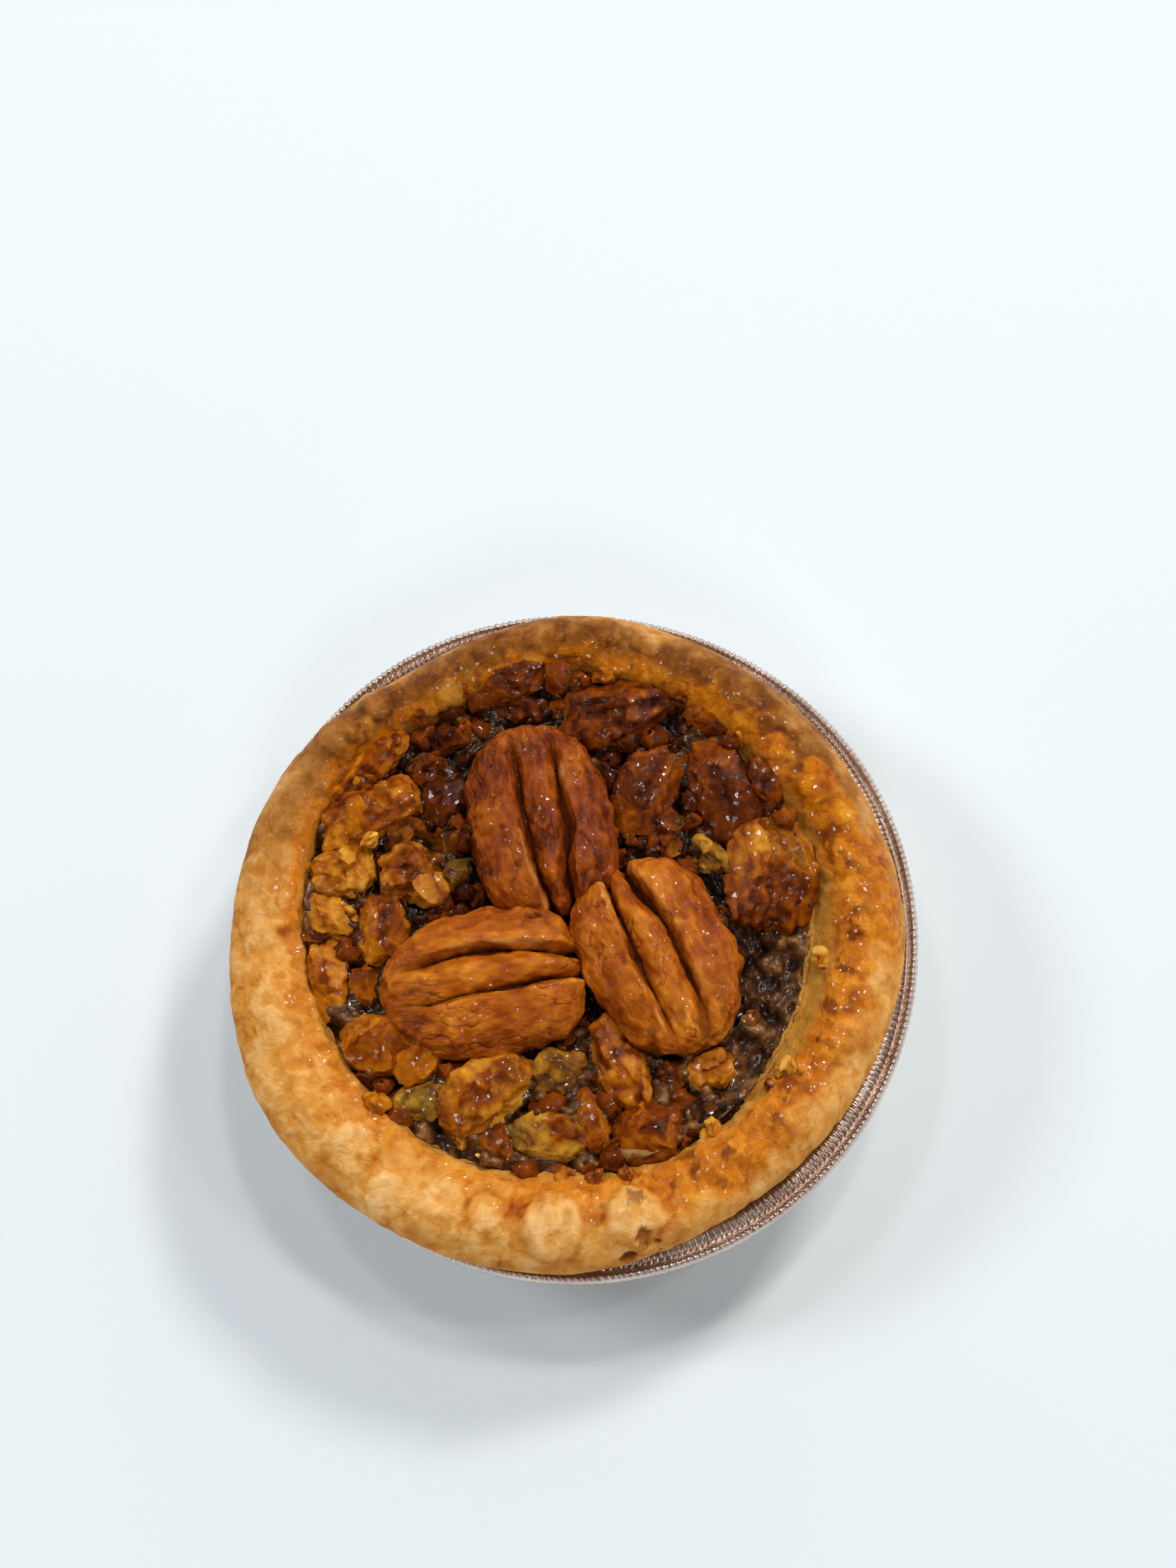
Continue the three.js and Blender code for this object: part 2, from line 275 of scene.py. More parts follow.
# foil tin: stamped from thin foil, with pleated walls and a rolled, crimped rim
tin = {
    "rim": 44.0, "mouth": 39.6, "foot": 31.0, "wallTop": 20.0, "flange": 21.0, "top": 22.0,
    "bead": 0.6, "foil": 0.25, "sides": 1900, "lines": 52,
    # how far the rim is bent out of round, every 30 degrees from +X towards +Y
    "bent": [0.15, 0.6, 0.5, 0.5, 0.7, 0.1, 0.0, -0.2, 0.0, 0.0, 0.0, 0.0],
    "pleatCount": 36, "pleatDepth": 0.45, "crimpCount": 340, "crimpDepth": 0.2, "seed": 4,
    "drift": 14.0, "driftScale": 14.0,  # how far the crimps stray from even, and how soon
}


def foilMaterial():
    # thin rolled aluminium: a mirror, broken up by tiny dents and tinted a warm pinkish grey
    material, add, coords = startMaterial("crimped aluminium foil")
    tint = add("ShaderNodeTexNoise", {"Scale": 1 / (7 * mm), "Detail": 4.0}, {"Vector": coords})
    colour = add("ShaderNodeValToRGB", links={"Fac": tint},
                 stops=[(0.3, "c4ad9f"), (0.7, "e0cfc3")])
    dents = add("ShaderNodeTexNoise", {"Scale": 1 / (0.9 * mm), "Detail": 3.0}, {"Vector": coords})
    bump = add("ShaderNodeBump", {"Strength": 0.5, "Distance": 0.2 * mm}, {"Height": dents})
    return finishMaterial(material, add, {"Metallic": 1.0, "Roughness": 0.28},
                          {"Base Color": colour, "Normal": bump})


def crimpTree(sizes):  # pushes the wall out in pleats and the rim in fine uneven crimps
    tree, add, given = startTree("pleatsAndCrimps", sizes)
    split = add("ShaderNodeSeparateXYZ", links={0: add("GeometryNodeInputPosition")}).outputs
    angle = add("ShaderNodeMath", links={0: split["Y"], 1: split["X"]}, operation="ARCTAN2")
    flat = add("ShaderNodeCombineXYZ", links={0: split["X"], 1: split["Y"]})
    outward = add("ShaderNodeVectorMath", links={0: flat}, operation="NORMALIZE")
    # drifts along the rim but hardly across it, so that the crimps stay radial
    drift = add("ShaderNodeTexNoise", {"Scale": tin["driftScale"], "Detail": 2.0},
                {"Vector": outward, "W": given["seed"]}, noise_dimensions="4D")
    normal = add("GeometryNodeInputNormal")
    moved = given["Geometry"]
    for name, wander, direction in (("pleat", 0.0, outward), ("crimp", tin["drift"], normal)):
        share = add("GeometryNodeInputNamedAttribute", {"Name": name + "Share"}, data_type="FLOAT")
        turned = add("ShaderNodeMath", links={0: angle, 1: given[name + "Count"]},
                     operation="MULTIPLY")
        wandered = addPatterns(add, turned, (wander, drift))
        wave = add("ShaderNodeMath", links={0: wandered}, operation="COSINE")
        depth = add("ShaderNodeMath", links={0: wave, 1: share}, operation="MULTIPLY")
        deep = add("ShaderNodeMath", links={0: depth, 1: given[name + "Depth"]},
                   operation="MULTIPLY")
        offset = add("ShaderNodeVectorMath", links={0: direction, "Scale": deep}, operation="SCALE")
        moved = add("GeometryNodeSetPosition", links={"Geometry": moved, "Offset": offset})
    real = add("GeometryNodeRealizeInstances", links={"Geometry": moved})
    done = add("GeometryNodeSetMaterial", {"Material": foilMaterial()}, {"Geometry": real})
    add("NodeGroupOutput", links={"Geometry": done})
    return tree


def makeTin():
    t = tin
    rim, mouth, foot, flange = t["rim"], t["mouth"], t["foot"], t["flange"]
    wallTop, bead, middle = t["wallTop"], t["bead"], flange + 0.1
    # radius, height, share of the pleats, share of the crimps, from under the base to inside it
    course = [
        (14, 0.0, 0, 0), (foot - 1, 0.0, 0, 0), (foot + 0.6, 0.8, 1, 0),
        (foot + 3, 6.2, 1, 0), (mouth - 2, 15, 1, 0),
        (mouth + t["foil"], wallTop, 1, 0), (mouth + 1.8, flange - 0.4, 0.2, 0.3),
        (rim - bead, middle - 0.9, 0, 0.2), (rim - 0.2, middle - 0.6, 0, 0.2),
        (rim, middle, 0, 0.2), (rim - 0.18, middle + 0.6, 0, 0.6),
        (rim - bead, t["top"], 0, 0.9), (rim - 1.05, middle + 0.6, 0, 0.6),
        (rim - 1.25, flange - 0.1, 0, 0), (rim - 1.5, flange, 0, 0),
        (rim - 1.8, flange + 0.3, 0.1, 1.2), (rim - 2.7, flange + 0.5, 0.1, 1.7),
        (mouth + 0.7, flange + 0.2, 0.4, 1.2), (mouth, wallTop, 1, 0.2),
        (mouth - 2.3, 15, 1, 0), (foot + 2.6, 6.2, 1, 0), (foot, 1.3, 1, 0),
        (foot - 1.2, 0.5, 0, 0), (12, 0.5, 0, 0),
    ]
    line = resample(np.array(course, float), t["lines"])
    line[:, 1] = np.maximum(line[:, 1], 0)  # nothing dips under the base
    angles = np.arange(t["sides"]) / t["sides"] * 2 * math.pi
    onRim = smooth(mouth, mouth + 2, line[:, :1])
    radius = line[:, :1] + onRim * around(t["bent"], angles)
    rings = np.stack([radius * np.cos(angles), radius * np.sin(angles),
                      np.repeat(line[:, 1:2], t["sides"], axis=1)], axis=-1)
    mesh = loftMesh("tinShape", (rings, (0, 0, 0), (0, 0, 0.5)))
    for name, k in (("pleatShare", 2), ("crimpShare", 3)):
        values = np.concatenate([[0], np.repeat(line[:, k], t["sides"]), [0]])
        mesh.attributes.new(name, "FLOAT", "POINT").data.foreach_set("value", values)
    sizes = {"pleatCount": t["pleatCount"], "pleatDepth": t["pleatDepth"] * mm,
             "crimpCount": t["crimpCount"], "crimpDepth": t["crimpDepth"] * mm, "seed": t["seed"]}
    grown = growMesh("foilTin", mesh, crimpTree(sizes), sizes)
    print("foil tin:", len(grown.polygons), "faces")
    finishPiece(grown, grown.materials[0], "foil", "foil_tin")


# pastry case: thick shortcrust pressed in by hand, blistered, and soaked where syrup ran, with
# painted shade darkening its back side
pastry = {
    "floor": 3.4, "under": 22.4, "crest": 27.8, "mouthHeight": 26.0, "heel": 27.0,
    "reach": [42.0, 41.7, 42.2, 43.3, 41.6, 43.6, 43.9, 45.2, 44.0, 42.9, 40.7, 41.0],
    "mouth": [32.8, 33.0, 33.7, 35.4, 34.4, 36.3, 35.0, 33.9, 33.4, 31.8, 31.8, 32.2],
    "lean": [3.4, 2.4, 1.6, 1.2, 1.2, 1.2, 1.2, 1.2, 1.4, 1.8, 2.2, 2.8],
    "sides": 640, "lines": 130, "rollSize": 2.6,
    # depth in mm of each kind of relief, from broad to fine
    "lumps": 0.34, "pillows": 0.5, "blisters": 0.14, "wrinkles": 0.16, "flakes": 0.16,
    "scales": 0.14, "ragged": 0.5, "grain": 0.07,
    # how much each finish shows, every 30 degrees from +X towards +Y
    "glaze": [1.1, 0.7, 0.45, 0.3, 0.25, 0.3, 0.4, 0.35, 0.35, 0.6, 1.1, 1.0],
    # how wet with syrup the lip is round the back, where it is also painted dark olive as shade
    "soak": [0.3, 1.0, 1.0, 1.0, 1.0, 0.85, 0.1, 0.0, 0.0, 0.05, 0.1, 0.05],
    # how far in from the outer edge the glaze starts, as a share of the lip
    "shore": [0.14, 0.3, 0.5, 0.5, 0.5, 0.5, 0.5, 0.5, 0.5, 0.45, 0.2, 0.44],
    # swollen blisters: direction in degrees, share across the lip, width and height
    "swellings": [(266.0, 0.46, 9.4, 1.0), (281.4, 0.46, 9.0, 1.0), (226, 0.5, 8.0, 0.5),
                  (236, 0.3, 7.0, 0.6), (253, 0.55, 6.0, 0.4), (319, 0.4, 7.6, 0.28),
                  (141, 0.5, 7.0, 0.5), (131, 0.35, 6.0, 0.4), (118, 0.85, 4.6, 0.6),
                  (84, 0.4, 5.0, 0.4), (76, 0.45, 5.4, 0.4), (96, 0.5, 6.0, 0.4)],
    # small torn holes: direction, share across, width and depth
    "tears": [(281.9, 0.2, 2.4, 0.8), (279.3, 0.1, 2.0, 0.6), (284.5, 0.12, 1.4, 0.5)],
}
syrup = {"level": 22.4, "roll": 0.5, "rollSize": 2.1}


def pastryMaterial():
    # baked butter pastry: matt and mottled where dry, amber and wet where syrup soaked in, and dark
    # olive round the back side, partly as painted shade
    material, add, coords, toast, soak, glaze, spot, inside = startMaterial(
        "baked shortcrust pastry", "toast", "soak", "glaze", "spot", "inside")
    mottle, flour, patch = [add("ShaderNodeTexNoise", values, {"Vector": coords}) for values in (
        {"Scale": 1 / (1.4 * mm), "Detail": 6.0, "Roughness": 0.68},
        {"Scale": 1 / (0.5 * mm), "Detail": 3.0},
        {"Scale": 1 / (2.4 * mm), "Detail": 5.0, "Roughness": 0.6, "Distortion": 0.9})]
    # thin raised flakes with crisp edges
    flaky = add("ShaderNodeMapRange", {"From Min": 0.5, "From Max": 0.55}, {"Value": patch})
    # the baked colour, with painted light and shade that follow the relief
    shade = addPatterns(add, toast, (0.34, mottle), (-0.08, flaky), lift=-0.14)
    dry, soaked, amber = [add("ShaderNodeValToRGB", links={"Fac": shade}, stops=stops) for stops in (
        [(0.08, "fcd298"), (0.95, "a85c14"), (0.3, "f7bf74"), (0.5, "e8a24a"), (0.74, "d08028")],
        [(0.12, "b27022"), (0.7, "562601"), (0.42, "864805")],
        [(0.15, "f0ac22"), (0.85, "8e3801"), (0.46, "d97c06")])]
    # dark olive over the back side, partly soaked syrup and partly painted shade
    colour = layColours(add, dry, (soak, soaked, 0.95), (glaze, amber, 0.9),
                        (spot, "6a2201", 0.85), (inside, "bc8430", 0.95))
    wet = add("ShaderNodeMath", links={0: glaze, 1: inside}, operation="MAXIMUM")
    wet = add("ShaderNodeMath", {1: 0.25}, {0: soak, 2: wet}, operation="MULTIPLY_ADD",
              use_clamp=True)
    rough = add("ShaderNodeMapRange", {"To Min": 0.6, "To Max": 0.45}, {"Value": wet})
    coat = add("ShaderNodeMapRange", {"To Min": 0.1, "To Max": 1.0}, {"Value": wet})
    height = addPatterns(add, mottle, (0.7, flour), (0.3, flaky))
    crumb = add("ShaderNodeBump", {"Strength": 0.5, "Distance": 0.4 * mm}, {"Height": height})
    return finishMaterial(material, add, {
        "Specular IOR Level": 0.08, "Coat Roughness": 0.15, "Subsurface Weight": 0.12,
        "Subsurface Radius": (1.0, 0.5, 0.2), "Subsurface Scale": 1.2 * mm,
    }, {
        "Base Color": colour, "Roughness": rough, "Normal": crumb,
        **addGlitter(add, coords, 0.44, 0.6, 0.22, 0.03, coat),
    })


def makePastry():
    p = pastry
    angles = np.arange(p["sides"]) / p["sides"] * 2 * math.pi
    reach, mouth = around(p["reach"], angles), around(p["mouth"], angles)
    edge = mouth - around(p["lean"], angles)
    foot, wall = tin["foot"], tin["mouth"]
    ring = partial(ringOf, angles, grain=p["rollSize"])

    def across(share, height, roll):
        return ring(reach + (mouth - reach) * share, height, roll)

    stations = np.array([
        ring(foot - 2.4, 0.9), ring(foot - 1.1, 1.9), ring(wall - 1.0, tin["wallTop"] + 0.3),
        ring(wall - 0.4, tin["flange"] + 0.7),
        ring(wall + (reach - wall) * 0.55, p["under"]), ring(reach - 0.7, p["under"] + 0.3),
        across(0, p["under"] + 1.6, 0.3), across(0.09, p["crest"] - 2.1, 0.5),
        across(0.27, p["crest"] - 0.7, 0.6), across(0.5, p["crest"], 0.7),
        across(0.76, p["crest"] - 0.4, 0.6), across(1, p["mouthHeight"], 0.3),
        ring(edge + (mouth - edge) * 0.4, syrup["level"] + 1.2), ring(edge, syrup["level"] - 0.3),
        ring(p["heel"], p["floor"] + 1.1), ring(p["heel"] - 1.5, p["floor"]),
    ])
    mesh = loftMesh("pastryCase", (resample(stations, p["lines"]), (0, 0, 0.9), (0, 0, p["floor"])))
    points, normals = pointsOf(mesh), normalsOf(mesh)
    x, y, z = points.T
    angle, radius = np.arctan2(y, x), np.hypot(x, y)
    outer, inner = around(p["reach"], angle), around(p["mouth"], angle)
    share = (outer - radius) / (outer - inner)  # 0 at the outer edge, 1 at the mouth
    top = smooth(p["under"] + 0.1, p["under"] + 1.6, z) * (radius > 24)
    inside = smooth(0.92, 1.18, share) * top
    busy = np.flatnonzero(top > 0)
    at, here, turn = points[busy], share[busy], angle[busy]
    glazeHere, soakHere = around(p["glaze"], turn), around(p["soak"], turn)
    broad, fine = fractal(at, 8.0, 3), fractal(at, 1.9, 4, 5.0)
    tiny, patches = fractal(at, 0.8, 2, 9.0), fractal(at, 3.6, 3, 17.0)
    pillow = np.abs(fractal(at, 7.0, 2, 21.0))
    crease = smooth(0.06, 0.0, pillow) * smooth(-0.2, 0.3, patches)
    along = np.stack([np.cos(turn) * 27, np.sin(turn) * 27, here * 1.6], axis=-1)
    wrinkle = fractal(along, 1.0, 3, 50.0)  # short, and running across the lip
    dome = smooth(0.8, 0.1, cells(at, 5.2, 3.0)) * smooth(-0.1, 0.35, broad)
    scales = smooth(-0.06, 0.06, fractal(at, 2.6, 4, 61.0))  # pale skin over hollows that are painted darker as shade
    calm = 1 - 0.4 * soakHere
    lift = (p["lumps"] * broad + p["pillows"] * (np.minimum(pillow, 0.5) - 0.3)
            + calm * (p["blisters"] * dome + p["wrinkles"] * wrinkle + p["flakes"] * fine
                      + p["scales"] * scales)
            + p["grain"] * tiny * (0.6 + 0.8 * glazeHere * smooth(0.2, 0.8, here)))
    lift *= 0.4 + 0.6 * smooth(0.0, 0.2, here)  # the outer edge stays even
    bubble, torn = np.zeros(len(at)), np.zeros(len(at))
    for spots, height in ((p["swellings"], 1), (p["tears"], -1)):
        for degrees, place, width, tall in spots:
            a = np.array([math.radians(degrees)])
            r = around(p["reach"], a) * (1 - place) + around(p["mouth"], a) * place
            away = np.hypot(at[:, 0] - r * np.cos(a), at[:, 1] - r * np.sin(a))
            away += 0.7 * fine + 0.4 * patches + 0.5 * np.minimum(height, 0) * tiny
            mound = smooth(width / 2, width * 0.24, away)
            lift += height * tall * mound
            if height > 0:
                bubble = np.maximum(bubble, mound * min(1, tall * 1.8))
            else:
                torn = np.maximum(torn, mound)
    skin = top[busy] * (1 - 0.7 * inside[busy])
    points[busy] += normals[busy] * (lift * skin)[:, None]
    ragged = p["ragged"] * smooth(0.66, 1.0, here) * (patches + 0.6 * fine) * top[busy]
    points[busy, :2] *= (1 + ragged / radius[busy])[:, None]
    movePoints(mesh, points)
    pale = np.maximum(bubble * 0.9, dome * 0.3)
    band = smooth(0.2, 0.8, here)
    toast, glaze, soak, spot = [np.zeros(len(points)) for _ in range(4)]
    # baked colour with painted light and shade: darker in the creases, the hollows between the
    # scales and round the foot of each swelling, paler on the raised wrinkles, swellings and domes
    toast[busy] = (0.58 + 0.08 * broad - 0.2 * pale + 0.1 * patches - 0.08 * fine - 0.08 * wrinkle
                   - 0.13 * scales + 0.2 * crease + 0.08 * smooth(0.14, 0.0, here) + 0.3 * torn
                   + 0.14 * smooth(0.0, 0.25, bubble) * smooth(0.6, 0.3, bubble))
    flow = smooth(0.45, 0.75, glazeHere * (0.74 + 0.26 * band) + 0.5 * broad + 0.3 * fine)
    flow *= smooth(-0.14, 0.14, here - around(p["shore"], turn) + 0.16 * patches)
    lip = 0.95 * smooth(0.62, 0.9, here + 0.1 * patches) * smooth(-0.7, 0.0, fine + 0.4 * glazeHere)
    glaze[busy] = np.maximum(flow, lip) * (1 - 0.6 * bubble)
    # wet with syrup round the back, and painted darker there as shade
    soak[busy] = soakHere * smooth(-0.4, 0.55, here + 0.4 * broad + 0.2 * fine)
    spot[busy] = (smooth(0.1, 0.4, fractal(at, 2.6, 3, 31.0)) * smooth(0.35, 0.9, glazeHere)
                  * smooth(0.3, 0.75, here) * 0.9 + 0.6 * torn)
    hidden = smooth(p["under"] + 0.5, p["under"] - 1, z) * (share > 1)
    storeShares(mesh, toast=toast, soak=soak, glaze=glaze * (1 - inside),
                spot=spot * (1 - inside), inside=inside + hidden)
    print("crust:", len(mesh.polygons), "faces")
    finishPiece(mesh, pastryMaterial(), "pastry", "crust")


# pecan halves: a ridge between two plump lobes, with furrows that run out at one end
halfShape = {
    "stations": 150, "above": 220, "below": 44,
    # how blunt the open and the closed end are, from above and from the side
    "bluntPlan": (4.6, 2.4), "bluntSide": (5.0, 3.0),
    # of half its width: the ridge, and how much of that it loses towards the open end
    "ridge": 0.27, "taper": 0.45,
    "furrow": 0.6, "openFurrow": 0.95, "shoulder": 1.2, "ridgeDrop": 0.2, "notch": 0.09,
    "folds": 0.36, "scallops": 0.55, "wrinkles": 0.15, "creases": 0.3, "fan": 0.34,
}
# turn of its length, lean of the ridge off the middle, end where the furrows are open,
# how dark its roast is, and a seed
halves = {
    "pecan_half_1": {"turn": -77, "lean": 0.06, "tip": 1, "roast": 0.2, "seed": 3.0},
    "pecan_half_2": {"turn": 11, "lean": 0.08, "tip": 1, "roast": -0.03, "seed": 14.0},
    "pecan_half_3": {"turn": -64, "lean": -0.06, "tip": -1, "roast": -0.03, "seed": 27.0},
}


def skinMaterial():
    # roasted pecan skin: thin papery bran, satin, near black in its furrows, partly as painted
    # shade, with painted shade on its lower sides and a painted highlight along its edges
    material, add, coords, warm, worn, furrow = startMaterial(
        "roasted pecan skin", "warm", "worn", "furrow")
    lay = add("ShaderNodeAttribute", attribute_name="lay").outputs["Vector"]
    blotch, fibre, stray = [add("ShaderNodeTexNoise", values, {"Vector": lay}) for values in (
        {"Scale": 1 / 2.2, "Detail": 5.0, "Roughness": 0.6, "Distortion": 0.6},
        {"Scale": 1 / 0.5, "Detail": 4.0}, {"Scale": 1 / 1.4, "Detail": 3.0})]
    bent = add("ShaderNodeVectorMath", {1: (1.6, 1.6, 1.6)}, {0: stray.outputs["Color"], 2: lay},
               operation="MULTIPLY_ADD")
    cracks = add("ShaderNodeTexVoronoi", {"Scale": 1 / 2.2}, {"Vector": bent},
                 feature="DISTANCE_TO_EDGE")
    thin = add("ShaderNodeMapRange", {"From Max": 0.05, "To Min": 1.0, "To Max": 0.0},
               {"Value": cracks})
    patch = add("ShaderNodeTexNoise", {"Scale": 1 / 3.4, "Detail": 2.0}, {"Vector": bent})
    dry = add("ShaderNodeMapRange", {"From Min": 0.56, "From Max": 0.68}, {"Value": patch})
    # cracks only where the skin dried out
    cracked = add("ShaderNodeMath", links={0: thin, 1: dry}, operation="MULTIPLY")
    # the roast tone, with painted shade from the relief: lighter on raised folds, darker down the
    # flanks
    shade = addPatterns(add, warm, (0.5, blotch), (-0.3, cracked), lift=-0.25)
    skin = add("ShaderNodeValToRGB", links={"Fac": shade}, stops=[
        (0.08, "5c2103"), (0.95, "e39636"), (0.32, "903f07"), (0.55, "b05a0c"), (0.76, "cc7516")])
    # a painted highlight in pale orange along the edges, and near black in the furrows and creases,
    # partly dark skin and partly painted shade, and as painted shade down the lower sides and under
    # the half
    colour = layColours(add, skin, (worn, "e8a858", 0.8), (furrow, "401605", 0.95))
    relief = addPatterns(add, fibre, (-0.6, cracked))
    bump = add("ShaderNodeBump", {"Strength": 0.5, "Distance": 0.3 * mm}, {"Height": relief})
    return finishMaterial(material, add, {
        "Specular IOR Level": 0.11, "Roughness": 0.42, "Coat Roughness": 0.15,
    }, {"Base Color": colour, "Normal": bump, **addGlitter(add, coords, 0.38, 0.5, 0.08, 0.0)})


def makeHalf(node, look, material):
    h = halfShape
    turned, centre, (long, wide, tall) = nodeSpot(node, look["turn"])
    base, rise = -tall / 3, tall * 4 / 3  # a third of its height lies under its widest line
    t = -np.cos(np.linspace(0.015, 0.985, h["stations"]) * math.pi)[:, None]
    angle = math.pi * np.concatenate([np.linspace(0, 1, h["above"], endpoint=False),
                                      np.linspace(1, 2, h["below"], endpoint=False)])[None, :]
    c, n = np.cos(angle), np.sin(angle)
    u, seed = t * look["tip"], look["seed"]  # u is 1 at the end where the furrows are open
    opened, closed = smooth(0.1, 1.0, u), smooth(-0.4, -0.95, u)
    plan = (1 - np.abs(u) ** np.where(u > 0, *h["bluntPlan"])) ** 0.5
    height = (1 - np.abs(u) ** np.where(u > 0, *h["bluntSide"])) ** 0.42
    y = wide * plan * np.sign(c) * np.abs(c) ** 0.9
    ridge = wide * h["ridge"] * (1 - h["taper"] * opened - 0.2 * closed)
    sway = 0.25 * np.sin(3.3 * t + seed) + 0.12 * np.sin(8.1 * t + 2 * seed)
    aside = y - wide * look["lean"] * (1 - 0.5 * opened) - sway
    off = np.abs(aside) - ridge  # past the middle of a furrow, on to a lobe
    cut = (h["furrow"] + (h["openFurrow"] - h["furrow"]) * opened) * (1 - 0.9 * closed)
    crown = (1 - h["ridgeDrop"]) * np.clip(1 - (aside / ridge) ** 2, 0, 1) ** 0.5
    lobe = smooth(-0.1, h["shoulder"], off) ** 0.5
    profile = 1 - cut * (1 - np.where(off > 0, lobe, crown))
    top, under = rise * profile, tall * 0.66
    z = base + height * np.sign(n) * np.abs(n) ** 0.8 * np.where(n > 0, top, under)
    x = t * long * (1 - h["notch"] * opened * smooth(1.0, 0.0, np.abs(off)))
    rings = np.stack(np.broadcast_arrays(x, y, z), axis=-1)
    mesh = loftMesh(node.replace("pecan_half_", "pecanHalf"),
                    (rings, (-long, 0, base), (long, 0, base)))

    def spread(values):  # one value for each point of the mesh, its two ends too
        return np.concatenate([[0], np.broadcast_to(values, z.shape).ravel(), [0]])

    points, normals = pointsOf(mesh), normalsOf(mesh)
    folds = fractal(points * (0.7, 1.0, 1.0), 4.2, 3, seed)
    scallops = fractal(points * (1.0, 0.35, 0.35), 2.3, 2, seed + 9)
    wrinkles = fractal(points * (0.6, 1.0, 1.0), 1.1, 3, seed + 4)
    fan = fractal(points * (0.3, 1.0, 1.0), 1.7, 2, seed + 6)  # lengthwise, where the lobes meet
    line = np.abs(fractal(points * (0.55, 1.0, 1.0), 3.6, 3, seed + 2))
    crease = smooth(0.05, 0.0, line) * smooth(-0.1, 0.3, fractal(points, 7.0, 2, seed + 7))
    off, flank = spread(off), smooth(0.2, 0.95, spread(off) / (wide * 0.7))
    fanned = smooth(-0.3, -0.8, spread(u))
    lift = (h["folds"] * folds + h["scallops"] * scallops * (0.1 + 0.9 * flank)
            + h["wrinkles"] * wrinkles - h["creases"] * crease + h["fan"] * fan * fanned)
    points += normals * lift[:, None]
    above = spread(n > 0)
    # dark in the furrows: the skin's own colour there, with painted shade on it
    furrow = smooth(0.6, 0.05, np.abs(off)) * above * spread(smooth(0.1, 0.7, cut))
    # painted shade down the lower sides and all under the half
    low = smooth(0.3, 0.0, spread(np.abs(n) ** 0.8 * height)) * above + 1 - above
    # painted highlight along the lobes' inner edges beside the furrows
    rim = smooth(0.5, 0.75, off) * smooth(1.3, 0.85, off) * above * spread(smooth(0.2, 0.6, cut))
    movePoints(mesh, (points + centre) @ turned)
    lay = mesh.attributes.new("lay", "FLOAT_VECTOR", "POINT")  # its own axes in mm, less its length
    lay.data.foreach_set("vector", (points * (0.8, 1, 1) + seed * 5).astype(np.float32).ravel())
    # darker in the creases and where the lobes fan together, partly the skin's own colour and partly
    # painted shade
    creased = np.maximum(0.5 * crease, 0.5 * smooth(-0.1, -0.35, fan) * fanned)
    # the roast tone is painted lighter on raised folds and wrinkles and darker down the outer
    # flanks, as shade over the roast's own tone
    storeShares(mesh, furrow=np.maximum(furrow, np.maximum(creased, 0.7 * low)),
                worn=0.7 * rim * smooth(-0.1, 0.5, folds),
                warm=0.55 - look["roast"] + 0.25 * folds + 0.2 * wrinkles - 0.1 * flank)
    finishPiece(mesh, material, "pecan_skin", node)


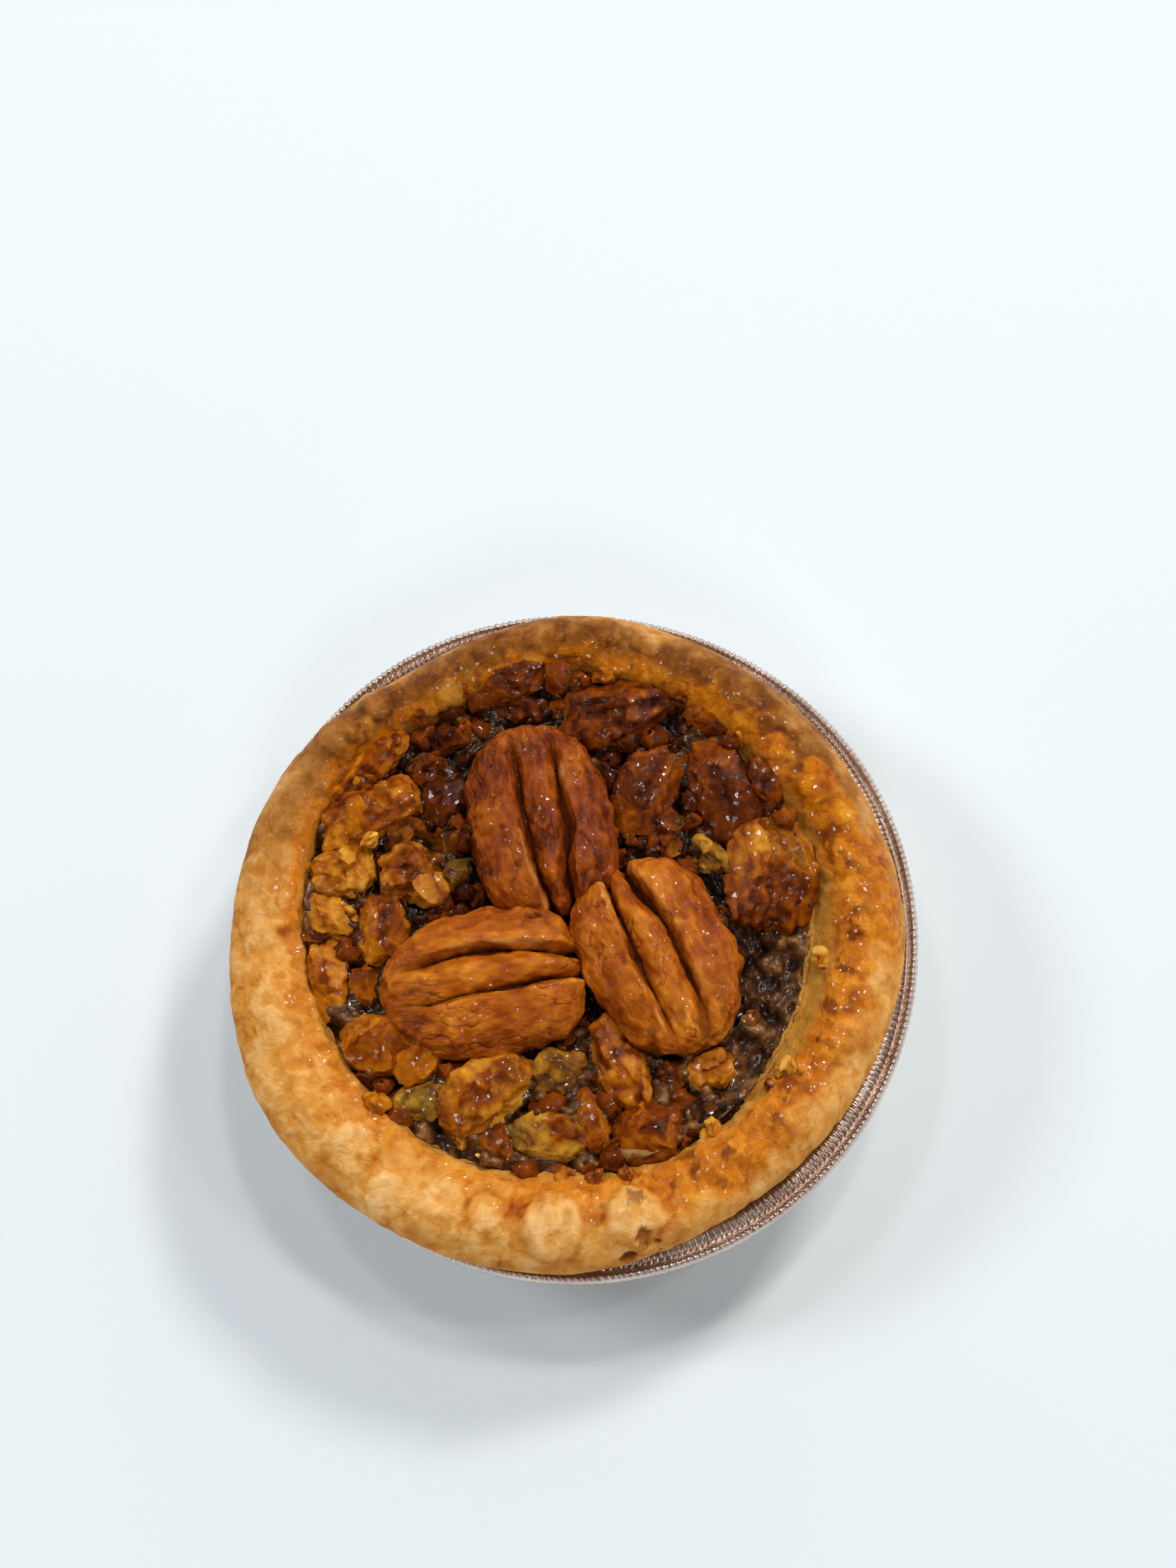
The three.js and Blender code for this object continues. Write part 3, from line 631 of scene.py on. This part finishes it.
# broken nuts, each by its node: turn, squareness, share of the squarish core, number of lumps
# and of flat breaks, tone from pale 0 to dark 1, share of skin, ribs in it, and olive tint
nuts = {
    "01": (14, 2.4, 0.86, 4, 1, 0.74, 0.6, 4, 0.2), "02": (-117, 2.8, 0.95, 1, 4, 0.62, 0.4, 1, 0),
    "03": (-67, 2.8, 0.95, 2, 2, 0.6, 0.6, 1, 0), "04": (-82, 2.3, 0.7, 5, 1, 0.64, 0.3, 2, 0.3),
    "05": (80, 3.0, 0.93, 3, 2, 0.52, 0.55, 7, 0.2), "06": (51, 2.4, 0.8, 5, 1, 0.56, 0.2, 0, 0),
    "07": (26, 2.4, 0.72, 7, 2, 0.45, 0.1, 0, 0), "08": (30, 2.6, 0.75, 5, 3, 0.64, 0.1, 0, 0.2),
    "09": (58, 2.4, 0.9, 2, 2, 0.94, 0.2, 0, 0.1), "10": (31, 2.4, 0.8, 4, 1, 0.66, 0.2, 0, 0),
    "11": (19, 2.4, 0.75, 6, 2, 0.28, 0.05, 0, 0.1), "12": (-9, 3.4, 0.97, 1, 5, 0.42, 0.1, 0, 0.1),
    "13": (89, 2.6, 0.95, 1, 3, 0.58, 0.45, 1, 0), "14": (-26, 2.6, 0.68, 7, 1, 0.52, 0.25, 0, 0.25),
    "15": (96, 2.6, 0.9, 2, 1, 0.42, 0.3, 2, 0), "16": (-14, 4.0, 0.99, 0, 4, 0.52, 0.35, 0, 0),
    "17": (23, 2.5, 0.95, 1, 2, 0.34, 0.3, 0, 0), "18": (30, 2.5, 0.8, 4, 2, 0.42, 0.0, 0, 0.7),
    "19": (38, 2.6, 0.78, 6, 3, 0.29, 0.15, 0, 0.15), "20": (-64, 2.5, 0.85, 3, 2, 0.58, 0.2, 0, 0),
    "21": (10, 2.3, 0.75, 7, 0, 0.54, 0.0, 0, 0.6), "22": (11, 2.8, 0.82, 4, 2, 0.44, 0.1, 0, 0.6),
    "23": (-74, 2.4, 0.9, 1, 2, 0.46, 0.4, 0, 0), "24": (-63, 2.4, 0.8, 4, 2, 0.44, 0.4, 3, 0),
    "25": (14, 3.6, 0.97, 1, 3, 0.62, 0.5, 1, 0), "26": (22, 2.4, 0.75, 4, 1, 0.38, 0.1, 0, 0.1),
    "27": (39, 2.4, 0.8, 4, 2, 0.92, 0.1, 0, 0.6), "28": (16, 2.4, 0.85, 3, 1, 0.54, 0.2, 0, 0),
    "29": (-75, 2.8, 0.85, 3, 3, 0.68, 0.1, 0, 0), "30": (-56, 2.4, 0.75, 4, 1, 0.48, 0.0, 0, 0.7),
    "31": (-73, 3.0, 0.95, 1, 3, 0.62, 0.2, 0, 0), "32": (-85, 2.4, 0.9, 1, 1, 0.56, 0.1, 0, 0),
    "33": (3, 2.4, 0.8, 4, 1, 0.74, 0.2, 0, 0), "34": (5, 2.4, 0.85, 3, 1, 0.7, 0.1, 0, 0),
    "35": (61, 2.4, 0.85, 2, 1, 0.6, 0.0, 0, 0.8), "36": (27, 2.4, 0.8, 3, 1, 0.72, 0.2, 0, 0.5),
    "37": (38, 2.4, 0.8, 4, 1, 0.78, 0.1, 0, 0.2),
}
nutShape = {"fill": (1.12, 1.12, 1.05), "core": 0.84, "folds": 0.24, "broad": 0.36,
            "fine": 0.12, "torn": 0.6, "ribs": 0.5, "chips": 6,
            "small": 2.6,  # half length in mm, under which a nut has a coarser mesh
            "pooled": 0.3}  # painted shade: how much darker the hollows and lighter the raised lumps are painted


def nutMaterial():
    # broken pecan under a film of syrup: waxy pale meat, amber where the syrup soaked in
    material, add, coords, tone, olive = startMaterial("syrup glazed pecan meat", "tone", "olive")
    blotch = add("ShaderNodeTexNoise", {"Scale": 1 / (1.4 * mm), "Detail": 4.0, "Roughness": 0.6},
                 {"Vector": coords})
    sugar = add("ShaderNodeTexNoise", {"Scale": 1 / (0.6 * mm), "Detail": 2.0}, {"Vector": coords})
    shade = addPatterns(add, tone, (0.5, blotch), lift=-0.2)
    amber, greenish = [add("ShaderNodeValToRGB", links={"Fac": shade}, stops=stops) for stops in (
        [(0.04, "f2b64e"), (0.98, "300e02"), (0.22, "d48a1c"), (0.4, "b0620a"), (0.58, "863d04"),
         (0.76, "5e2604")],
        [(0.04, "e4c468"), (0.98, "1e0e02"), (0.3, "b48c2c"), (0.5, "80601e"), (0.75, "4a2e0c")])]
    colour = layColours(add, amber, (olive, greenish, 1.0))
    meat = add("ShaderNodeBump", {"Strength": 0.5, "Distance": 0.2 * mm}, {"Height": sugar})
    return finishMaterial(material, add, {
        "Specular IOR Level": 0.06, "Roughness": 0.35, "Coat Roughness": 0.15,
        "Subsurface Weight": 0.3, "Subsurface Radius": (1.0, 0.4, 0.1),
        "Subsurface Scale": 1.2 * mm,
    }, {"Base Color": colour, "Normal": meat, **addGlitter(add, coords, 0.5, 0.5, 0.18, 0.0)})


def ball(name, detail):
    shell = bmesh.new()
    bmesh.ops.create_icosphere(shell, subdivisions=detail, radius=mm)
    mesh = bpy.data.meshes.new(name)
    shell.to_mesh(mesh)
    shell.free()
    return mesh


def fitBody(body, size):
    low, high = body.min(axis=0), body.max(axis=0)
    return (body - (low + high) / 2) / ((high - low) / 2) * size


# breaks flat faces off a body of about unit size, and gives how much of it is a fresh break
def chip(body, draw, count, near, far, steep):
    broken = np.zeros(len(body))
    for _ in range(count):
        a, lift = draw.uniform(0, 2 * math.pi), draw.uniform(-0.2, steep)
        face = np.array([math.cos(a), math.sin(a), lift]) / math.hypot(1, lift)
        over = body @ face - draw.uniform(near, far)
        body = body - face * np.maximum(over, 0)[:, None] * 0.93
        broken = np.maximum(broken, smooth(0.0, 0.12, over))
    return body, broken


# turns a ball into a broken piece of nut that fills its spot, with its tones stored
def shapeNut(mesh, spot, look, seed):
    turned, centre, size = spot
    square, core, lumps, breaks, tone, skinShare, ribs, olive = look
    s, draw = nutShape, random.Random(seed)
    way = pointsOf(mesh)
    reaches = [core * s["core"] / (np.abs(way) ** square).sum(axis=1) ** (1 / square)]
    for _ in range(lumps):
        middle = np.array([draw.uniform(-1, 1), draw.uniform(-1, 1), draw.uniform(-0.2, 0.8)])
        middle *= draw.uniform(0.4, 0.62) / np.linalg.norm(middle)
        radius = draw.uniform(0.34, 0.52)
        along = way @ middle
        inside = radius ** 2 - middle @ middle + along ** 2
        far = along + np.sqrt(np.maximum(inside, 0))
        reaches.append(np.where((inside > 0) & (along > 0), far, 0.1))
    reaches = np.array(reaches)
    lumpTone = np.array([draw.uniform(-1, 1) for _ in reaches])[reaches.argmax(axis=0)]
    body = way * ((reaches ** 16).sum(axis=0) ** (1 / 16))[:, None]
    body, broken = chip(body, draw, breaks, 0.56, 0.8, 1.1)
    body = fitBody(body, size)
    movePoints(mesh, body)
    shift = seed * 3.7
    foldSize = 1.6 + 0.7 * size.min()
    folds = np.abs(fractal(body, foldSize, 2, shift + 11))  # rounded lobes, sharp creases
    crease = smooth(0.12, 0.0, folds) * min(1, lumps / 5)
    broad, fine = fractal(body, 3.2, 2, shift), fractal(body, 1.2, 3, shift + 5)
    ribbed = np.zeros(len(way))
    if ribs:
        across = (way[:, 1] + 0.16 * broad) * ribs / 2
        ribbed = np.abs(np.sin(across * math.pi)) ** 0.7 - 0.6
    facing = 0.5 + 0.5 * way[:, 2] + 0.3 * way[:, 0] * draw.uniform(-1, 1) + 0.25 * broad
    skin = smooth(-0.05, 0.1, facing - (1 - skinShare) * 1.1) * (skinShare > 0) * (1 - broken)
    torn = 0.25 - np.abs(fractal(body, 2.4, 3, shift + 23))  # sharp raised edges of torn flesh
    lift = (s["folds"] * min(lumps, 4) * (np.minimum(folds, 0.55) - 0.3) * (1 - 0.5 * broken)
            + s["broad"] * broad + s["fine"] * fine + s["torn"] * torn + s["ribs"] * ribbed * skin)
    body = fitBody(body + normalsOf(mesh) * lift[:, None], 1.0)
    body, fresh = chip(body, draw, s["chips"], 0.7, 0.92, 2.6)
    body = fitBody(body, size * s["fill"])
    # painted shade: darker towards the bottom of each nut
    under = smooth(-0.1, -0.8, body[:, 2] / size[2])
    # painted shade over the nut's own tones: darker in the creases, the hollows and low down,
    # lighter on the raised lumps
    tones = (tone + 0.1 * broad + 0.12 * lumpTone + 0.05 * crease + 0.1 * skin - 0.1 * broken
             - 0.1 * fresh + 0.3 * under - s["pooled"] * np.clip(lift, -0.6, 0.6))
    movePoints(mesh, (body + centre) @ turned)
    storeShares(mesh, tone=tones, olive=olive * (1 - skin) + 0.25 * lumpTone * olive)


def makeNuts(material):
    for number, (degrees, *look) in nuts.items():
        spot = nodeSpot("pecan_chunk_" + number, degrees)
        mesh = ball("pecanChunk" + number, 6 if max(spot[2]) > nutShape["small"] else 5)
        shapeNut(mesh, spot, look, int(number))
        finishPiece(mesh, material, "pecan_meat", "pecan_chunk_" + number)
    print("broken nuts:", len(nuts))


# filling: brown sugar syrup, set sandy, with painted shade darkening the gaps, and climbing up the
# nuts
filling = {
    "sides": 460, "lines": 170, "lumps": 1.5, "lumpSize": 3.0, "grit": 0.36, "gritSize": 1.7,
    "sugar": 0.2, "sugarSize": 0.6,
    "climb": 2.3, "climbWidth": 1.1,  # how high and how wide it stands against a nut
    "sink": 1.8, "sinkAt": (1.0, -1.0), "sinkWidth": 13.0,  # the hole between the halves
    # where the nuts leave it bare and sandy: from where to where that sets in, and how much
    "rightX": (14, 22), "rightY": (8, 0), "frontY": (-12, -17), "frontShare": 0.7,
    "backY": (6, 16), "backShare": 0.5,
}


def fillingMaterial():
    # cooked brown sugar: painted near black as shade where deep, in the gaps and in the hollows,
    # olive brown and glittering where it is sandy
    material, add, coords, sandy = startMaterial("set brown sugar syrup", "sandy")
    mottle = add("ShaderNodeTexNoise", {"Scale": 1 / (1.2 * mm), "Detail": 5.0,
                 "Roughness": 0.65}, {"Vector": coords})
    sugar = add("ShaderNodeTexNoise", {"Scale": 1 / (0.8 * mm), "Detail": 2.0}, {"Vector": coords})
    shade = addPatterns(add, sandy, (1.0, mottle), lift=-0.52)
    colour = add("ShaderNodeValToRGB", links={"Fac": shade}, stops=[
        (0.05, "0a0301"), (0.95, "a0703c"), (0.28, "2a1204"), (0.5, "4c2a0c"), (0.72, "704620")])
    bump = add("ShaderNodeBump", {"Strength": 0.9, "Distance": 0.24 * mm}, {"Height": sugar})
    return finishMaterial(material, add, {
        "Specular IOR Level": 0.25, "Roughness": 0.35, "Coat Roughness": 0.15,
    }, {"Base Color": colour, "Normal": bump, **addGlitter(add, coords, 0.48, 0.7, 0.45, 0.05)})


def nutRoom(points):  # plan distance in mm to the nearest nut, less than nothing under one
    away = np.full(len(points), 99.0)
    spots = [("pecan_chunk_" + number, look[0]) for number, look in nuts.items()]
    spots += [(node, look["turn"]) for node, look in halves.items()]
    for node, degrees in spots:
        turned, centre, size = nodeSpot(node, degrees)
        local = np.abs(points @ turned.T - centre)[:, :2] / size[:2]
        reach = (local ** 2.6).sum(axis=1) ** (1 / 2.6)
        away = np.minimum(away, (reach - 1) * size[:2].min())
    return away


def makeFilling():
    f, p = filling, pastry
    angles = np.arange(f["sides"]) / f["sides"] * 2 * math.pi
    edge = around(p["mouth"], angles) - around(p["lean"], angles)
    ring = partial(ringOf, angles, grain=syrup["rollSize"])
    rings = [ring(p["heel"] - 1.7, p["floor"] + 0.4), ring(p["heel"] - 0.4, p["floor"] + 1.6),
             ring(edge + 0.7, syrup["level"] - 0.4)]
    for share in np.linspace(1, 0.01, f["lines"]):
        wall = smooth(0.92, 1.0, share)  # it creeps up the pastry and into it
        rings.append(ring(edge * share + 0.6 * wall, syrup["level"] + 0.8 * wall, syrup["roll"]))
    ends = (0, 0, p["floor"] + 0.4), (0, 0, syrup["level"])
    mesh = loftMesh("syrupFilling", (np.array(rings), *ends))
    points = pointsOf(mesh)
    top = smooth(syrup["level"] - 1.0, syrup["level"] - 0.5, points[:, 2])
    busy = np.flatnonzero(top > 0)
    at = points[busy] * (1, 1, 0)
    away = nutRoom(at)
    lumps, sugar = fractal(at, f["lumpSize"], 3), fractal(at, f["sugarSize"], 2, 7.0)
    grit = smooth(0.8, 0.1, cells(at, f["gritSize"], 2.0)) * 2 - 1
    middle = np.hypot(at[:, 0] - f["sinkAt"][0], at[:, 1] - f["sinkAt"][1])
    deep = smooth(f["sinkWidth"], 3, middle)
    climb = np.exp(-np.maximum(away, 0) / f["climbWidth"]) * (1 - deep)
    points[busy, 2] += (f["lumps"] * lumps + f["grit"] * grit + f["sugar"] * sugar
                        + f["climb"] * climb - f["sink"] * deep) * top[busy]
    movePoints(mesh, points)
    right = smooth(*f["rightX"], at[:, 0]) * smooth(*f["rightY"], at[:, 1])
    front = smooth(*f["frontY"], at[:, 1]) * f["frontShare"]
    back = smooth(*f["backY"], at[:, 1]) * f["backShare"]
    sandy, room = np.zeros(len(points)), np.zeros(len(points))
    # paler in the open sandy parts, with painted shade keeping it darker close to the nuts
    bare = np.maximum(np.maximum(right, front), back) * smooth(0.0, 1.4, away)
    turn = np.arctan2(at[:, 1], at[:, 0])
    share = np.hypot(at[:, 0], at[:, 1]) / (around(p["mouth"], turn) - around(p["lean"], turn))
    # painted shade: darker in the hole between the halves and in the hollows between lumps
    sandy[busy] = (0.26 + 0.4 * lumps + 0.14 * grit + 0.2 * bare + 0.24 * climb * front
                   + 0.06 * climb - 0.3 * deep + 0.16 * smooth(0.86, 0.97, share))
    room[busy] = smooth(0.0, 0.3, away) * (1 - deep) * (1 - 0.8 * right)
    storeShares(mesh, sandy=sandy, room=room)
    print("filling:", len(mesh.polygons), "faces")
    return finishPiece(mesh, fillingMaterial(), "filling", "filling")


# crumbs: small bits of nut stuck in the syrup and on the lip of the pastry
crumbs = {
    "seed": 11, "density": 0.2, "smallest": 0.5, "largest": 1.9, "palest": 0.5, "darkest": 0.9,
    "knobs": 4.0, "knobSize": 1.1, "faces": 80,  # of the strewn ones
    "firstSeed": 70, "turnStep": 51,  # of the larger ones
    # the larger ones, one by one: place, length, tone and olive tint
    "placed": [
        (26.1, 15.7, 23.6, 2.6, 0.6, 0), (23.6, 14.4, 23.2, 2.8, 0.66, 0),
        (-12.1, 4.9, 23.4, 4.0, 0.78, 0.2), (-16.6, 12.0, 23.0, 5.4, 0.7, 0.4),
        (14.0, -26.0, 24.4, 2.2, 0.3, 0.4), (22.0, -11.5, 22.9, 3.2, 0.6, 0.4),
        (-20.3, 28.6, 26.0, 3.2, 0.6, 0), (-15.8, 32.3, 26.6, 3.4, 0.5, 0),
        (26.4, -18.1, 26.0, 3.2, 0.3, 0.3), (31.0, -3.8, 25.2, 2.6, 0.3, 0.4),
        (3.6, 34.0, 25.8, 3.0, 0.55, 0), (-1.4, -31.2, 25.6, 2.6, 0.42, 0),
        (2.2, -31.8, 25.6, 2.8, 0.44, 0), (6.6, -31.2, 25.6, 2.4, 0.4, 0),
        (-24.6, -22.7, 26.2, 3.6, 0.45, 0), (-26.4, 11.2, 26.8, 2.4, 0.2, 0.2),
        (-14.1, -27.2, 24.6, 1.8, 0.3, 0.4), (-11.3, -28.6, 24.4, 1.6, 0.2, 0.4),
        (-27.4, 19.2, 25.8, 3.2, 0.5, 0), (-24.2, 24.6, 25.8, 3.0, 0.56, 0),
        (-10.6, 33.4, 26.2, 2.8, 0.6, 0), (-29.8, 13.8, 25.8, 2.4, 0.4, 0),
        (14.2, 31.6, 25.6, 2.8, 0.62, 0), (20.8, 25.6, 25.4, 2.6, 0.5, 0),
        (-29.6, 2.2, 25.0, 2.6, 0.36, 0.2), (-27.8, -13.8, 25.0, 2.6, 0.44, 0),
        (16.8, -25.8, 25.2, 3.0, 0.34, 0.1), (24.6, -20.4, 25.6, 2.4, 0.5, 0),
    ],
}


def crumbTree(sizes, material):  # strews knobbly bits over the faces that have room for them
    c = crumbs
    tree, add, given = startTree("strewCrumbs", sizes)
    room = add("GeometryNodeInputNamedAttribute", {"Name": "room"}, data_type="FLOAT")
    enough = add("ShaderNodeMath", {1: 0.5}, {0: room}, operation="GREATER_THAN")
    spots = add("GeometryNodeDistributePointsOnFaces",
                links={"Mesh": given["Geometry"], "Density": given["density"],
                       "Selection": enough, "Seed": given["seed"]})
    turn = add("FunctionNodeRandomValue", {"Max": (6.28, 6.28, 6.28)}, {"Seed": given["seed"]},
               data_type="FLOAT_VECTOR")
    size = add("FunctionNodeRandomValue", data_type="FLOAT",
               links={2: given["smallest"], 3: given["largest"], "Seed": given["seed"]})
    bit = add("GeometryNodeMeshIcoSphere", {"Radius": 1.0, "Subdivisions": 2})
    laid = add("GeometryNodeInstanceOnPoints",
               links={"Points": spots, "Instance": bit, "Rotation": turn, "Scale": size.outputs[1]})
    tone = add("FunctionNodeRandomValue", {2: c["palest"], 3: c["darkest"]}, data_type="FLOAT")
    toned = add("GeometryNodeStoreNamedAttribute", {"Name": "tone"},
                {"Geometry": laid, "Value": tone.outputs[1]}, data_type="FLOAT", domain="INSTANCE")
    real = add("GeometryNodeRealizeInstances", links={"Geometry": toned})
    rough = add("ShaderNodeTexNoise", {"Scale": 1 / (c["knobSize"] * mm), "Detail": 3.0})
    middle = add("ShaderNodeVectorMath", {1: (0.5, 0.5, 0.5)}, {0: rough.outputs["Color"]},
                 operation="SUBTRACT")
    push = add("ShaderNodeVectorMath", {"Scale": c["knobs"] * mm}, {0: middle}, operation="SCALE")
    moved = add("GeometryNodeSetPosition", links={"Geometry": real, "Offset": push})
    done = add("GeometryNodeSetMaterial", {"Material": material}, {"Geometry": moved})
    add("NodeGroupOutput", links={"Geometry": done})
    return tree


def joinMeshes(name, meshes):  # one mesh out of many, with their shares kept
    parts = [addObject(mesh.name, mesh) for mesh in meshes]
    with bpy.context.temp_override(active_object=parts[0], selected_editable_objects=parts):
        bpy.ops.object.join()
    joined = parts[0].data
    joined.name = name
    bpy.data.objects.remove(parts[0])
    return joined


def makeCrumbs(fillingPiece, material):
    c = crumbs
    placed = []
    for n, (x, y, z, length, tone, olive) in enumerate(c["placed"]):
        placed.append(ball("nutCrumb", 4))
        turned = turnedAxes(n * c["turnStep"])
        size = np.array([1, 0.8, 0.8]) * length / 2
        spot = turned, turned @ np.array([x, y, z]), size
        shapeNut(placed[-1], spot, (2.5, 0.8, 5, 3, tone, 0.1, 0, olive), c["firstSeed"] + n)
    finishPiece(joinMeshes("nutCrumbs", placed), material, "pecan_meat")
    sizes = {"density": c["density"] / mm ** 2, "smallest": c["smallest"] * mm,
             "largest": c["largest"] * mm, "seed": c["seed"]}
    strewn = growMesh("strewnCrumbs", fillingPiece.data.copy(), crumbTree(sizes, material), sizes)
    print("strewn crumbs:", len(strewn.polygons) // c["faces"])
    finishPiece(strewn, material, "pecan_meat")


# floor, light and camera: pale paper, a soft window up right and a darker ceiling
studio = {
    "floor": "f0f8fb", "floorSize": 3.0, "horizon": "dce2ea", "ceiling": "484644", "strength": 1.0,
    "window": (0.25, 0.32),  # how far the bright band climbs on the side of the window, in X and Y
    # place, size, watts and colour of each lamp; the small bulbs give the glints
    "lights": [((0.55, 0.75, 1.05), 0.22, 7.0, "fffaf2"), ((-0.9, 0.2, 0.9), 0.3, 4.2, "f4f8ff"),
               ((0.1, -0.9, 1.0), 0.3, 2.3, "ffffff"), ((0.12, 0.3, 0.9), 0.08, 1.2, "ffffff"),
               ((-0.22, 0.3, 0.85), 0.08, 0.7, "ffffff"), ((0.42, 0.1, 0.9), 0.08, 0.7, "ffffff")],
    "cameraPlace": (0.00159, -0.06865, 0.29434), "cameraTilt": 18.1, "lens": 50.0,
    "aim": (0, 0, 0.02),  # where the lamps point
}


def makeStudio():
    s = studio
    material, add = startMaterial("plain matt paper")[:2]  # pale and even
    finishMaterial(material, add, {"Base Color": hexColour(s["floor"]), "Roughness": 0.9}, {})
    half = s["floorSize"] / 2
    mesh = bpy.data.meshes.new("floor")
    mesh.from_pydata([(-half, -half, 0), (half, -half, 0), (half, half, 0), (-half, half, 0)], [],
                     [(0, 1, 2, 3)])
    mesh.materials.append(material)
    floor = addObject("floor", mesh)
    world = bpy.data.worlds.new("studio")
    world.use_nodes = True
    bpy.context.scene.world = world
    sky = world.node_tree
    way = addNode(sky, "ShaderNodeTexCoord").outputs["Generated"]
    tilt = (-s["window"][0], -s["window"][1], 1.0)
    up = addNode(sky, "ShaderNodeVectorMath", {1: tilt}, {0: way}, operation="DOT_PRODUCT")
    shade = addNode(sky, "ShaderNodeValToRGB", links={"Fac": up.outputs["Value"]},
                    stops=[(0.1, s["horizon"]), (0.7, s["ceiling"])])
    background = sky.nodes["Background"]
    sky.links.new(shade.outputs["Color"], background.inputs["Color"])
    background.inputs["Strength"].default_value = s["strength"]
    for place, size, watts, colour in s["lights"]:
        lamp = bpy.data.lights.new("softBox", "AREA")
        lamp.size = size
        lamp.energy = watts
        lamp.color = hexColour(colour)[:3]
        box = addObject("softBox", lamp)
        box.location = place
        aim = Vector(s["aim"]) - Vector(place)
        box.rotation_euler = aim.to_track_quat("-Z", "Y").to_euler()
    lens = bpy.data.cameras.new("camera")
    lens.lens = s["lens"]
    camera = addObject("camera", lens)
    camera.location = s["cameraPlace"]
    camera.rotation_euler = (math.radians(s["cameraTilt"]), 0, 0)
    bpy.context.scene.camera = camera
    bpy.context.scene.view_settings.view_transform = "Standard"


makeTin()
makePastry()
skin = skinMaterial()
for node, look in halves.items():
    makeHalf(node, look, skin)
print("pecan halves:", len(halves))
nutMeat = nutMaterial()
makeNuts(nutMeat)
fillingPiece = makeFilling()
makeCrumbs(fillingPiece, nutMeat)
makeStudio()
